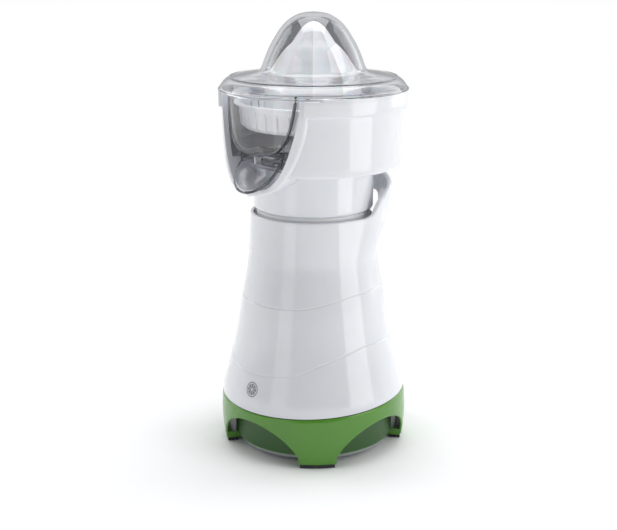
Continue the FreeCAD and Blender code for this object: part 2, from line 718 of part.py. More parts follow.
def spout():
    """Clear scoop with a back wall and two hinge stubs."""
    outside = ellipsoid(SCOOP_HALF).common(scoop_block(-8))
    inner = tuple(h - SCOOP_WALL for h in SCOOP_HALF)
    inside = ellipsoid(inner).common(scoop_block(-6.2))
    stubs = [bar(1.5, 14.5, 23.6, HINGE_Y, HINGE_Z), bar(1.5, -23.6, -14.5, HINGE_Y, HINGE_Z)]
    return fused([outside] + stubs).cut(inside)


def strainer():
    """White basket with slots around its side and floor."""
    basket = lathe(((11.5, 251), (51.5, 251), (54.2, 252), (55.4, 254.6), (57, 269.6), (60.4, 269.6),
                    (60.4, 271), (55.5, 271), (53.8, 255), (53, 253.2), (51, 252.6), (13.3, 252.6),
                    (13.3, 264), (11.5, 264)))
    slot = box(41, 60, -0.9, 0.9, 250, 266.5)
    return cut_all(basket, around(slot, STRAINER_SLOTS, 5))


def cone_surface(offset):
    """Solid of the two-tier cone, inside its ridge line by the offset."""
    runs = [inset(CONE_TIP, offset), inset(CONE_BODY, offset)]
    kink = runs[1][0]
    runs[0][-1] = kink
    foot_r, foot_z = CONE_FOOT
    return dome_solid(runs, ((foot_r - offset, foot_z), (0, foot_z)))


def cone():
    """Reamer: a hollow two-tier cone with ten ribs and a six-sided socket."""
    core = cone_surface(2.4)
    rib = cone_surface(0).common(box(5, 60, -1.1, 1.1, 255, 340))
    outside = fused([core] + around(rib, CONE_RIBS, 6))
    hub = rod(9, 266, 318)
    inside = cone_surface(4.6).cut(hub)
    below = rod(30, 255, 266).cut(rod(45, 266, 300))
    socket = hexagon(HEX_ACROSS + 0.3, 260, 300.5)
    return cut_all(outside, [inside, below, socket])


def lid():
    """Clear dome on a sloping brim, with an apron over the front window."""
    inner_dome = inset(LID_DOME, LID_WALL)
    brim = ((62, 289.4), (66.2, 287.4), (69.4, 284.4), (71.6, 281), (BRIM_R, BRIM_Z))
    under = ((70.2, BRIM_Z), (69.8, 281.6), (68.1, 283.6), (65.3, 285.9), (61.6, 287.6), (40, 291.1))
    edges = [curve([Vector(r, 0, z) for r, z in LID_DOME])]
    edges.append(curve([Vector(r, 0, z) for r, z in inner_dome[:-1] + [(38.4, 292.6)]]))
    path = [LID_DOME[-1]] + list(brim) + list(under) + [(38.4, 292.6)]
    for (r0, z0), (r1, z1) in zip(path, path[1:]):
        edges.append(Part.LineSegment(Vector(r0, 0, z0), Vector(r1, 0, z1)).toShape())
    edges.append(Part.LineSegment(Vector(0, 0, LID_DOME[0][1]), Vector(0, 0, inner_dome[0][1])).toShape())
    wire = Part.Wire(Part.__sortEdges__(edges))
    shell = Part.Face(wire).revolve(Vector(0, 0, 0), Vector(0, 0, 1), 360)
    apron = sector(70.2, BRIM_R, BRIM_Z - 1.3, BRIM_Z + 0.1, 0, 47.5)
    return shell.fuse(apron).removeSplitter()


NODES = (
    base_shell, skirt, bottom_plate, rubber_feet, base_screws, cord_gland, deck, deck_seal,
    start_springs, micro_switch, switch_screws, lower_bracket, upper_bracket, lower_bearing,
    upper_bearing, field_core, field_coils, brush_holders, carbon_brushes, motor_bolts,
    motor_dampers, motor_shaft, armature, commutator, fan, drive_coupling, start_ring,
    switch_button, housing, gearbox_case, gearbox_cover, gearbox_screws, input_bearing,
    spindle_bush, idler_pins, input_coupling, input_pinion, idler_a, idler_b, output_gear,
    spindle, juice_container, spout, strainer, cone, lid,
)


def main():
    os.makedirs("parts", exist_ok=True)
    for make in NODES:
        shape = make()
        assert shape.isValid(), make.__name__
        shape.exportStep("parts/" + make.__name__ + ".step")
        print(make.__name__, len(shape.Solids), round(shape.Volume))


main()
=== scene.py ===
import json
import math
import bpy
import bmesh
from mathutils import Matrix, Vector


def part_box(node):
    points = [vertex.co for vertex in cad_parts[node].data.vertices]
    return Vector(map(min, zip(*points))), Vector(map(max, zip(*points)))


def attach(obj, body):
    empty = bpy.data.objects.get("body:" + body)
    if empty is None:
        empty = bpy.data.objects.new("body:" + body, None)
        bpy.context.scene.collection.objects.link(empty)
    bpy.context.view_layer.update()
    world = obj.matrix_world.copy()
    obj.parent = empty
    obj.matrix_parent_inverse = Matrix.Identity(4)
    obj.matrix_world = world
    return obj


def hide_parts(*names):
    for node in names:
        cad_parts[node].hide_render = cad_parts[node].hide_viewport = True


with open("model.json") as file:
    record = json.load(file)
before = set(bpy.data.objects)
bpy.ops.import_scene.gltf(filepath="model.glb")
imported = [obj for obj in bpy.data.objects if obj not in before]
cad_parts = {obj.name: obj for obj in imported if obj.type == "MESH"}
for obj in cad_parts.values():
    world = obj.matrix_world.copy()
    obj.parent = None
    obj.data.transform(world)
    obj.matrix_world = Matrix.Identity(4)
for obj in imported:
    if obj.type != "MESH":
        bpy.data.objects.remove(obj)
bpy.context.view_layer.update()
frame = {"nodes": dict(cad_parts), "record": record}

# Looks of the citrus press. Sizes are millimetres until a mesh is made, and angles called phi are
# degrees from the front (-Y) towards +X.
MM = 0.001

# ---- sizes shared by several pieces --------------------------------------
FOOT_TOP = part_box("rubber_feet")[1].z / MM          # top of the rubber feet
RIM_Z = 186.0                                       # rim of the base at the front
SEAM_Z, SEAM_SLOPE, SEAM_R = 43.65, 0.055, 71.6     # white and green seam, rising to the back
WAIST_Z = 151.0                                     # where the wing leaves the waist
LEDGE_R, LEDGE_Z, LEDGE_TOP = 45.7, 172.0, 175.2    # the ledge inside, over the flange of the deck
WALL, WING_WALL = 2.5, 4.0                          # the shell's wall, and the thicker wing
# Rows of (height, radius): the shell up to its waist, and above it the neck in front and the wing behind.
FRONT_TABLE = ((36, 72.6), (45.4, 71.9), (61.6, 68.1), (81.8, 62.9), (99, 59.6), (120, 56.0), (137, 52.7),
               (WAIST_Z, 50.4))
NECK_TABLE = ((WAIST_Z, 50.4), (165, 49.4), (RIM_Z, 48.7), (222, 48.7))
WING_TABLE = ((WAIST_Z, 50.4), (160, 52.4), (170, 54.3), (180, 55.5), (190, 57.4), (200, 59.4), (210, 60.3),
              (222, 59.6))
WING_FROM, WING_FULL = 72.0, 128.0                  # angles at which the wing starts and is full
# Rows of (distance behind the axis, height) along the rim, then of (angle, height) along the two lines.
RIM_TABLE = ((3, RIM_Z), (9.5, 187.6), (13.5, 192), (18, 198.8), (29, 204.6), (46, 210.8), (75, 217.5))
UPPER_LINE = ((0, 120.4), (21, 120.5), (39, 122.3), (58, 126.3), (74, 128.9), (110, 130.5), (180, 131.0))
LOWER_LINE = ((0, 68.0), (23, 70.8), (32, 72.9), (48, 80.0), (66, 86.2), (86, 90.4), (120, 89.0), (180, 87.5))
ARCH_HALF, ARCH_TOP = 40.5, 32.0                    # the skirt's four arches
LEG_ANGLES = (45, 135, 225, 315)
MARK_Z = 57.0                                       # middle of the printed mark

BOWL_Z0, BRIM_Z, BRIM_R, FLANGE_R = 222.0, 280.0, 72.0, 69.8
SHROUD_Z, SHROUD_BACK = 226.0, -38.0                # middle and back of the spout's shroud
COLLAR_R, COLLAR_Z, PLUG_Z = 46.0, 189.0, 172.0
KEY_ANGLES, KEY_HALF = (60, 180, 300), 5.5          # the plug's keyways and half the angle of one
APRON_HALF, APRON_DEPTH = 47.5, 1.4                 # half angle and depth of the lid's apron over the window
OPENING_BACK = 42.0                                 # the window's opening cuts the floor back to here
# Half outlines, (half width, height): the window's flange, the window and the container's bay in it.
FLANGE_OUTLINE = ((0, 206.8), (20.0, 212.3), (37.2, 238), (43.0, 264), (43.4, 280))
WINDOW_OUTLINE = ((0, 211.0), (14.0, 213.8), (26.2, 226), (35.8, 254), (40.7, 280))
BAY_OUTLINE = ((0, 236.0), (20.5, 241.2), (31.0, 258), (34.8, 280))


# ---- curves and meshes ----------------------------------------------------
def flow(table, t):
    """A smooth curve through the rows of a (position, value) table."""
    rows = len(table)
    i = next((k for k in range(rows - 2) if t < table[k + 1][0]), rows - 2)
    (t0, v0), (t1, v1) = table[i], table[i + 1]

    def slope(k):
        if k == 0 or k == rows - 1:
            a, b = (table[0], table[1]) if k == 0 else (table[-2], table[-1])
            return (b[1] - a[1]) / (b[0] - a[0])
        left = (table[k][1] - table[k - 1][1]) / (table[k][0] - table[k - 1][0])
        right = (table[k + 1][1] - table[k][1]) / (table[k + 1][0] - table[k][0])
        return 0.0 if left * right <= 0 else 2 * left * right / (left + right)

    span = t1 - t0
    u = min(max((t - t0) / span, 0.0), 1.0)
    rise, fall = slope(i) * span, slope(i + 1) * span
    return (v0 * (2 * u ** 3 - 3 * u ** 2 + 1) + rise * (u ** 3 - 2 * u ** 2 + u)
            + v1 * (3 * u ** 2 - 2 * u ** 3) + fall * (u ** 3 - u ** 2))


def along(points, count):
    """Evenly spaced points on the smooth curve through a few (a, b) points."""
    ts = [0.0]
    for (a0, b0), (a1, b1) in zip(points, points[1:]):
        ts.append(ts[-1] + math.hypot(a1 - a0, b1 - b0))
    firsts = tuple((t, p[0]) for t, p in zip(ts, points))
    seconds = tuple((t, p[1]) for t, p in zip(ts, points))
    steps = [ts[-1] * k / (count - 1) for k in range(count)]
    return [(flow(firsts, t), flow(seconds, t)) for t in steps]


def spread(a, b, count):
    """Numbers from a to b, both ends in."""
    return [a + (b - a) * k / (count - 1) for k in range(count)]


def ease(u):
    """Rises smoothly from 0 to 1."""
    u = min(max(u, 0.0), 1.0)
    return u * u * (3 - 2 * u)


def rounded(corners, radius, steps=5):
    """A closed outline with its corners rounded; a corner (a, b, r) has a radius of its own."""
    out = []
    count = len(corners)
    for i, corner in enumerate(corners):
        here = Vector(corner[:2])
        before, after = Vector(corners[i - 1][:2]), Vector(corners[(i + 1) % count][:2])
        r = corner[2] if len(corner) > 2 else radius
        one, two = (before - here), (after - here)
        if r <= 0 or one.length < 1e-6 or two.length < 1e-6:
            out.append(tuple(here))
            continue
        angle = one.angle(two)
        reach = min(r / math.tan(angle / 2), one.length * 0.49, two.length * 0.49)
        a, b = here + one.normalized() * reach, here + two.normalized() * reach
        for k in range(steps + 1):
            u = k / steps
            out.append(tuple(a * (1 - u) ** 2 + here * 2 * u * (1 - u) + b * u * u))
    return out


def polar(phi, r, z):
    """The point at an angle from the front, a radius and a height."""
    a = math.radians(phi)
    return (r * math.sin(a), -r * math.cos(a), z)


def mesh_piece(name, points, faces, finish, sharp=38.0):
    """A mesh object from points in millimetres, merged, with outward normals and smooth shading.
    Faces that have collapsed or are there already are left out."""
    mesh = bpy.data.meshes.new(name)
    bm = bmesh.new()
    corners = [bm.verts.new([c * MM for c in p]) for p in points]
    for face in faces:
        ring = [corners[i] for i in face]
        if len(set(ring)) > 2:
            try:
                bm.faces.new(ring)
            except ValueError:
                continue
    bmesh.ops.remove_doubles(bm, verts=bm.verts, dist=2e-6)
    bmesh.ops.dissolve_degenerate(bm, edges=bm.edges, dist=1e-6)
    bmesh.ops.recalc_face_normals(bm, faces=bm.faces)
    bm.to_mesh(mesh)
    bm.free()
    mesh.shade_smooth()
    mesh.set_sharp_from_angle(angle=math.radians(sharp))
    mesh.materials.append(finish)
    piece = bpy.data.objects.new(name, mesh)
    bpy.context.scene.collection.objects.link(piece)
    return piece


def loops_mesh(loops, closed=True, capped=True):
    """Points and faces of a skin over loops of points that follow one another."""
    size = len(loops[0])
    points = [p for loop in loops for p in loop]
    faces = []
    count = len(loops)
    for j in range(count if closed else count - 1):
        for i in range(size):
            a, b = j * size + i, j * size + (i + 1) % size
            c, d = ((j + 1) % count) * size + (i + 1) % size, ((j + 1) % count) * size + i
            faces.append((a, b, c, d))
    if not closed and capped:
        faces.append(tuple(range(size)))
        faces.append(tuple((count - 1) * size + i for i in range(size)))
    return points, faces


def join_parts(parts):
    """One points and faces pair from several."""
    points, faces = [], []
    for some_points, some_faces in parts:
        shift = len(points)
        points += some_points
        faces += [tuple(i + shift for i in face) for face in some_faces]
    return points, faces


def lathe(outline, columns=144, phi0=0.0, turn=360.0):
    """A closed (r, z) outline turned about the spin axis."""
    whole = turn >= 360.0
    phis = [phi0 + turn * j / (columns if whole else columns - 1) for j in range(columns)]
    return loops_mesh([[polar(phi, r, z) for r, z in outline] for phi in phis], closed=whole)


def carve(piece, points, faces, sharp=38.0):
    """Cuts a closed block out of a piece."""
    block = mesh_piece("block", points, faces, piece.data.materials[0])
    cut = piece.modifiers.new("cut", "BOOLEAN")
    cut.operation, cut.solver, cut.object = "DIFFERENCE", "EXACT", block
    dg = bpy.context.evaluated_depsgraph_get()
    made = bpy.data.meshes.new_from_object(piece.evaluated_get(dg))
    old, name = piece.data, piece.data.name
    piece.modifiers.clear()
    piece.data = made
    bpy.data.meshes.remove(old)
    made.name = name
    bpy.data.objects.remove(block)
    made.shade_smooth()
    made.set_sharp_from_angle(angle=math.radians(sharp))
    return piece


def place(piece, body, slot, *nodes):
    """Sets the body that a piece rides on and hides the nodes it stands in for; the slot is not used."""
    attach(piece, body)
    if nodes:
        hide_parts(*nodes)
    return piece


# ---- finishes -------------------------------------------------------------
DRIFT_MM = 35                           # how far a moulding's colour takes to drift
FLOW_MARK_MM = 18                       # spacing of the flow marks in clear mouldings
CLOUD_MM = 6                            # size of the clouds in a metal's colour
WAVE_AT_ONE = math.pi / 10              # spacing of the wave texture's bands at a scale of 1


def linear(hex_colour):
    """An sRGB hex colour as linear red, green, blue and alpha."""
    out = []
    for k in (1, 3, 5):
        c = int(hex_colour[k:k + 2], 16) / 255
        out.append(c / 12.92 if c <= 0.04045 else ((c + 0.055) / 1.055) ** 2.4)
    return out + [1.0]


def add(tree, kind, links=(), **settings):
    """Adds a node with its settings, and links (socket, from_node, from_socket) into it."""
    node = tree.nodes.new(kind)
    for key, value in settings.items():
        if key.startswith("in_"):
            name = key[3:].replace("_", " ")
            socket = node.inputs[int(name)] if name.isdigit() else node.inputs[name]
            socket.default_value = value
        else:
            setattr(node, key, value)
    for socket, source, output in links:
        tree.links.new(source.outputs[output], node.inputs[socket])
    return node


def shader(name, colour, roughness, ior=1.5, metallic=0.0, coat=0.0, transmission=0.0, subsurface=0.0):
    """A new material with its principled shader; returns (material, tree, shader)."""
    made = bpy.data.materials.new(name)
    made.use_nodes = True
    tree = made.node_tree
    body = tree.nodes["Principled BSDF"]
    settings = {"Base Color": linear(colour), "Roughness": roughness, "IOR": ior, "Metallic": metallic,
                "Coat Weight": coat, "Coat Roughness": 0.03, "Transmission Weight": transmission,
                "Subsurface Weight": subsurface, "Subsurface Scale": 3 * MM}
    for socket, value in settings.items():
        body.inputs[socket].default_value = value
    return made, tree, body


def grained(name, colour, shade, roughness, spread_by, grain_mm, depth_mm, **more):
    """A finish whose colour drifts a little to a shade, with a fine grain in roughness and relief."""
    made, tree, body = shader(name, colour, roughness, **more)
    where = add(tree, "ShaderNodeTexCoord")
    drift = add(tree, "ShaderNodeTexNoise", [("Vector", where, "Object")], in_Scale=1 / (DRIFT_MM * MM),
                in_Detail=2.0)
    tint = add(tree, "ShaderNodeMix", [("Factor", drift, "Fac")], data_type="RGBA",
               in_6=linear(colour), in_7=linear(shade))
    grain = add(tree, "ShaderNodeTexNoise", [("Vector", where, "Object")], in_Scale=1 / (grain_mm * MM),
                in_Detail=3.0)
    rough = add(tree, "ShaderNodeMapRange", [("Value", grain, "Fac")], in_3=roughness - spread_by,
                in_4=roughness + spread_by)
    relief = add(tree, "ShaderNodeBump", [("Height", grain, "Fac")], in_Strength=0.6,
                 in_Distance=depth_mm * MM)
    tree.links.new(tint.outputs[2], body.inputs["Base Color"])
    tree.links.new(rough.outputs[0], body.inputs["Roughness"])
    tree.links.new(relief.outputs[0], body.inputs["Normal"])
    return made


def clear_plastic(name, tints, roughness):
    """Moulded clear SAN. Seen square on it is almost colourless; where the wall turns away the tints darken
    it, partly for the longer run of light through the wall and mostly as painted shade for the dark bands and
    outlines that a clear wall shows. The tints are (turn, colour) rows, from 0 square on to 1 edge on, and
    colour the light as it enters the wall. Light from lamps and from lit surfaces goes straight through,
    unbent, to what is inside."""
    made, tree, body = shader(name, tints[0][1], roughness, ior=1.52, transmission=1.0)
    turn = add(tree, "ShaderNodeLayerWeight", in_Blend=0.5)
    ramp = add(tree, "ShaderNodeValToRGB", [("Fac", turn, "Facing")])
    stops = ramp.color_ramp.elements
    stops[0].position, stops[0].color = tints[0][0], linear(tints[0][1])
    stops[1].position, stops[1].color = tints[-1][0], linear(tints[-1][1])
    for position, colour in tints[1:-1]:
        stops.new(position).color = linear(colour)
    side = add(tree, "ShaderNodeNewGeometry")
    tint = add(tree, "ShaderNodeMix", [("Factor", side, "Backfacing"), (6, ramp, "Color")], data_type="RGBA",
               in_7=linear(tints[0][1]))
    where = add(tree, "ShaderNodeTexCoord")
    flowmark = add(tree, "ShaderNodeTexNoise", [("Vector", where, "Object")],
                   in_Scale=1 / (FLOW_MARK_MM * MM), in_Detail=1.0)
    relief = add(tree, "ShaderNodeBump", [("Height", flowmark, "Fac")], in_Strength=0.12,
                 in_Distance=0.4 * MM)
    tree.links.new(tint.outputs[2], body.inputs["Base Color"])
    tree.links.new(relief.outputs[0], body.inputs["Normal"])
    ray = add(tree, "ShaderNodeLightPath")
    lit_through = add(tree, "ShaderNodeMath", [(0, ray, "Is Shadow Ray"), (1, ray, "Is Diffuse Ray")],
                      operation="MAXIMUM")
    passing = add(tree, "ShaderNodeBsdfTransparent", in_Color=linear("#fcfcfd"))
    both = add(tree, "ShaderNodeMixShader", [(0, lit_through, 0), (1, body, 0), (2, passing, 0)])
    tree.links.new(both.outputs[0], tree.nodes["Material Output"].inputs["Surface"])
    return made


def brushed_metal(name, colour, shade, roughness, line_mm):
    """Turned or rolled metal: fine rings around the axis scatter the highlight along them."""
    made, tree, body = shader(name, colour, roughness, metallic=1.0)
    where = add(tree, "ShaderNodeTexCoord")
    lines = add(tree, "ShaderNodeTexWave", [("Vector", where, "Object")], bands_direction="Z",
                in_Scale=WAVE_AT_ONE / (line_mm * MM), in_Distortion=1.5, in_Detail=2.0)
    drift = add(tree, "ShaderNodeTexNoise", [("Vector", where, "Object")], in_Scale=1 / (CLOUD_MM * MM),
                in_Detail=4.0)
    tint = add(tree, "ShaderNodeMix", [("Factor", drift, "Fac")], data_type="RGBA",
               in_6=linear(colour), in_7=linear(shade))
    rough = add(tree, "ShaderNodeMapRange", [("Value", lines, "Fac")], in_3=roughness * 0.75,
                in_4=roughness * 1.3)
    relief = add(tree, "ShaderNodeBump", [("Height", lines, "Fac")], in_Strength=0.3, in_Distance=0.02 * MM)
    tree.links.new(tint.outputs[2], body.inputs["Base Color"])
    tree.links.new(rough.outputs[0], body.inputs["Roughness"])
    tree.links.new(relief.outputs[0], body.inputs["Normal"])
    return made


# Moulded ABS from a polished tool: a near mirror over a very slightly wavy, cool white.
gloss_abs = grained("gloss_white_abs", "#e3e5e9", "#dfe1e5", 0.13, 0.03, 4.0, 0.004, ior=1.53, coat=0.6,
                    subsurface=0.05)
# The same tool finish in apple green, a little softer in its shine.
green_abs = grained("satin_green_abs", "#549126", "#4f8a23", 0.26, 0.015, 1.6, 0.0015, ior=1.53, coat=0.25,
                    subsurface=0.04)
# The rougher inside of the same moulding, drawn a darker green as painted shade for the recess behind the
# arches.
green_painted_shade = grained("green_abs_painted_shade", "#2f5c22", "#2a521e", 0.5, 0.08, 1.2, 0.02, ior=1.53)
# Natural white polypropylene: waxy, softer highlights than the ABS.
white_pp = grained("white_polypropylene", "#f6f7f8", "#f0f1f3", 0.32, 0.05, 2.0, 0.006, ior=1.49,
                   subsurface=0.12)
# Frosted polypropylene of the reamer: light goes in and comes out milky.
frosted_pp = grained("frosted_polypropylene", "#f6f7f8", "#eef0f2", 0.30, 0.05, 1.2, 0.008, ior=1.49,
                     subsurface=0.35)
# Inner ABS parts from a spark-eroded tool: an even dull grey.
grey_abs = grained("textured_grey_abs", "#a9abaf", "#a0a2a6", 0.55, 0.08, 0.6, 0.02, ior=1.53)
# Glass-filled nylon: near black with a fine mottle.
black_nylon = grained("black_nylon", "#1c1c1e", "#26262a", 0.5, 0.1, 0.7, 0.02, ior=1.53)
# The same nylon coloured through: a dull brick red.
red_nylon = grained("red_nylon", "#b33428", "#a52e24", 0.42, 0.06, 0.8, 0.01, ior=1.53)
# Unfilled nylon of the gears: warm ivory, slightly see-through.
ivory_nylon = grained("natural_nylon", "#e9e4d2", "#e0dac5", 0.38, 0.06, 1.0, 0.01, ior=1.53, subsurface=0.2)
# Moulded rubber: matt charcoal with a bloom.
moulded_rubber = grained("moulded_rubber", "#2b2c2f", "#35363a", 0.78, 0.1, 0.8, 0.03, ior=1.52)
# Enamelled wire: orange copper under lacquer, in rows drawn several times as coarse as the wire to show.
wire_enamel = brushed_metal("enamelled_copper", "#b8673a", "#a05530", 0.3, 2.2)
# Sintered bronze: dull gold with open pores.
pored_bronze = grained("sintered_bronze", "#b08a4e", "#9a7742", 0.45, 0.12, 0.4, 0.03, metallic=1.0)
# Carbon brushes pressed from powder: soft black with a slight sparkle of grain.
pressed_carbon = grained("pressed_carbon", "#2a2a2b", "#343434", 0.6, 0.1, 0.5, 0.02, ior=1.6)
# Stacked electrical steel: the edges of half-millimetre sheets, drawn six times as coarse to show.
stacked_steel = brushed_metal("stacked_sheet_steel", "#6d6e70", "#5c5d60", 0.42, 3.14)
# Steel turned on a lathe: bright, with the tool's rings drawn coarser than life to show.
turned_steel = brushed_metal("turned_steel", "#c3c5c8", "#b4b6ba", 0.24, 1.57)
# Zinc plate: bluish, cloudy from the bath.
zinc_plate = grained("zinc_plate", "#b4bac2", "#9da6b2", 0.34, 0.1, 2.2, 0.01, metallic=1.0)
# Clear styrene acrylonitrile from a polished tool: like glass, with a dark tint painted where it is edge on,
# as painted shade for the dark outline of a clear edge.
clear_san = clear_plastic("clear_san", ((0.3, "#fafbfc"), (0.79, "#e6e7ea"), (0.86, "#4a4c54"),
                                        (1.0, "#24262d")), 0.02)
# The inside of the lid's dome: a dark tint by the wall's turn is painted shade, standing for the broad grey
# band of dim reflections that a clear dome shows inside its outline.
dome_painted_shade = clear_plastic("clear_san_dome_painted_shade", ((0.08, "#fafbfc"), (0.15, "#2c2d33"), (0.50, "#17181c"),
                                                      (0.64, "#4a4c53"), (0.80, "#e8e9ec")), 0.02)
# The same clear plastic in the container and spout. A grey tint where a wall is half turned is painted shade
# for the smoky look of several walls behind one another; the dark tint edge on is painted shade for the
# outline.
container_painted_shade_san = clear_plastic("clear_san_painted_shade_container", ((0.22, "#f6f7f8"), (0.3, "#c8cace"), (0.5, "#c8cace"),
                                                      (0.64, "#f6f7f8"), (0.78, "#f6f7f8"),
                                                      (0.88, "#4a4c55")), 0.02)
# Edges and beads of the clear plastic, drawn opaque ink grey: painted shade for the dark line that light
# running along a clear wall leaves at its edge.
edge_painted_shade = grained("clear_san_painted_edge", "#50525a", "#5a5c64", 0.10, 0.03, 3.0, 0.003, ior=1.52, coat=0.5)
# Pad-printed ink of the small mark: flat mid grey with a slightly ragged cover.
pad_ink = grained("pad_printed_ink", "#8b8d92", "#83858a", 0.4, 0.06, 0.3, 0.003, ior=1.5)
# Uncoated white paper on the table top: quite matt, with a faint tooth.
pale_paper = grained("pale_paper", "#ffffff", "#fcfcfd", 0.85, 0.05, 3.0, 0.01)

FINISH = {"gloss_white": gloss_abs, "green": green_abs, "white_part": white_pp, "grey_plastic": grey_abs,
          "black_plastic": black_nylon, "red_plastic": red_nylon, "nylon": ivory_nylon, "clear": clear_san,
          "frosted": frosted_pp, "rubber": moulded_rubber, "steel": turned_steel, "zinc": zinc_plate,
          "lamination": stacked_steel, "copper": wire_enamel, "bronze": pored_bronze,
          "carbon": pressed_carbon}
# The container's own clear plastic carries painted shade in its tints.
OWN_FINISH = {"juice_container": container_painted_shade_san}


def finish_frame():
    """Gives each CAD node the finish of its material slot, or one of its own."""
    for row in frame["record"]["subparts"]:
        node = frame["nodes"][row["node"]]
        finish = OWN_FINISH.get(row["node"], FINISH[row["material_slot"]])
        for slot in node.material_slots:
            slot.material = finish
        if not node.material_slots:
            node.data.materials.append(finish)


# ---- base -----------------------------------------------------------------
def signed(phi):
    """The angle between -180 and 180."""
    return (phi + 180.0) % 360.0 - 180.0


def wing_share(phi):
    """How much of the wing there is at an angle: none in front, all at the back."""
    return ease((abs(signed(phi)) - WING_FROM) / (WING_FULL - WING_FROM))


def base_radius(phi, z):
    """Outer radius of the white shell."""
    if z <= WAIST_Z:
        return flow(FRONT_TABLE, z)
    neck = flow(NECK_TABLE, z)
    return neck + wing_share(phi) * (flow(WING_TABLE, z) - neck)


def wall_at(phi, z):
    """Thickness of the white shell, which grows into the wing."""
    return WALL + (WING_WALL - WALL) * wing_share(phi) * ease((z - WAIST_Z) / 12)


def rim_height(phi):
    """Height of the shell's rim, which rises with the distance to the back. Radius and height depend
    on each other, so they are brought together step by step."""
    z = RIM_Z
    for _ in range(30):
        y = -base_radius(phi, z) * math.cos(math.radians(phi))
        target = RIM_Z if y < RIM_TABLE[0][0] else flow(RIM_TABLE, y)
        z += 0.5 * (target - z)
    return z


def seam_height(phi):
    """Height of the seam between white and green."""
    return SEAM_Z - SEAM_SLOPE * SEAM_R * math.cos(math.radians(phi))


def styling_line(z):
    """Heights and depths across a fine moulded line."""
    return [(z - 0.55, 0.0), (z - 0.16, 0.34), (z + 0.16, 0.34), (z + 0.55, 0.0)]


def base_column(phi):
    """The shell's outline at an angle: up the outside, over the rim and down the inside."""
    side = abs(signed(phi))
    seam, lower, upper = seam_height(phi), flow(LOWER_LINE, side), flow(UPPER_LINE, side)
    rim = rim_height(phi)
    lip = wall_at(phi, rim) / 2
    heights = [(z, 0.0) for z in spread(seam + 0.4, lower - 1.0, 14)] + styling_line(lower)
    heights += [(z, 0.0) for z in spread(lower + 1.0, upper - 1.0, 16)] + styling_line(upper)
    heights += [(z, 0.0) for z in spread(upper + 1.0, WAIST_Z, 9)]
    heights += [(z, 0.0) for z in spread(WAIST_Z + 1.2, rim - lip, 18)]
    column = [(base_radius(phi, seam) - 0.5, seam)]
    column += [(base_radius(phi, z) - dip, z) for z, dip in heights]
    middle = base_radius(phi, rim - lip) - lip
    for angle in spread(15, 165, 9):
        a = math.radians(angle)
        column.append((middle + lip * math.cos(a), rim - lip + lip * math.sin(a)))
    column += [(base_radius(phi, z) - wall_at(phi, z), z) for z in spread(rim - lip, LEDGE_TOP + 0.3, 10)]
    column += [(LEDGE_R, LEDGE_TOP), (LEDGE_R, LEDGE_Z)]
    column += [(base_radius(phi, z) - wall_at(phi, z), z) for z in spread(LEDGE_Z - 0.5, seam, 14)]
    return [polar(phi, r, z) for r, z in column]


def finger_block():
    """The finger hole's block, flared at both faces of the wing so that the edges come out round."""
    outline = rounded([(-25, 177), (25, 177), (25, 196), (-25, 196)], 8.5, 10)
    count, edge, loops = len(outline), 1.5, []
    steps = (0.0, 0.12, 0.35, 0.65, 1.0)
    levels = [(WING_WALL, -8.0, edge)]
    levels += [(WING_WALL, edge * t, edge * (1 - math.sqrt(1 - (1 - t) ** 2))) for t in steps]
    levels += [(0.0, -edge * t, edge * (1 - math.sqrt(1 - (1 - t) ** 2))) for t in reversed(steps)]
    levels += [(0.0, 8.0, edge)]
    for inward, deep, grow in levels:
        loop = []
        for i, (x, z) in enumerate(outline):
            (x0, z0), (x1, z1) = outline[i - 1], outline[(i + 1) % count]
            length = math.hypot(x1 - x0, z1 - z0) or 1.0
            px, pz = x + grow * (z1 - z0) / length, z - grow * (x1 - x0) / length
            radius = flow(WING_TABLE, pz) - inward
            loop.append((px, math.sqrt(radius ** 2 - px ** 2) + deep, pz))
        loops.append(loop)
    return loops_mesh(loops, closed=False)


SHELL_COLUMNS = 240


def make_base_shell():
    """The waisted white shell with its wing and finger hole."""
    skin = loops_mesh([base_column(360 / SHELL_COLUMNS * j) for j in range(SHELL_COLUMNS)])
    piece = mesh_piece("white_shell", *skin, gloss_abs, 50)
    carve(piece, *finger_block(), sharp=50)
    return place(piece, "base", "gloss_white", "base_shell")


SKIRT_TABLE = ((3, 71.0), (14, 72.5), (27, 73.2), (40, 72.6), (49, 71.2))
SKIRT_R, SKIRT_INNER_TOP = 72.0, 39.0   # mean radius of the foot ring, and where its inside ends
# Faces of the recess nearer the axis than RECESS_R get the darker green of painted shade.
RECESS_R = 70.0                         # faces nearer the axis than this are the rough inside
SOLE_TOP = 8.0


def skirt_column(phi, z, across, up):
    """One column of the foot ring, from the seam down round the edge at (phi, z) and back up inside."""
    half, r = 1.1, SKIRT_R
    column = [(phi, -0.5, seam_height(phi) - 0.3)]
    for k in range(15):
        u = k / 14
        start, end = seam_height(phi) - 0.8, z + up * half
        column.append((phi + math.degrees(across * half / r) * u, 0.0, start + (end - start) * u))
    for angle in spread(20, 160, 8):
        a = math.radians(angle)
        off = half * (1 - math.sin(a))
        column.append((phi + math.degrees(across * off / r), -half + half * math.cos(a), z + up * off))
    for u in spread(0, 1, 6):
        start = z + up * half
        column.append((phi + math.degrees(across * half / r) * (1 - u), -2 * half,
                       start + (SKIRT_INNER_TOP - start) * u))
    return [polar(p, flow(SKIRT_TABLE, h) + dr, h) for p, dr, h in column]


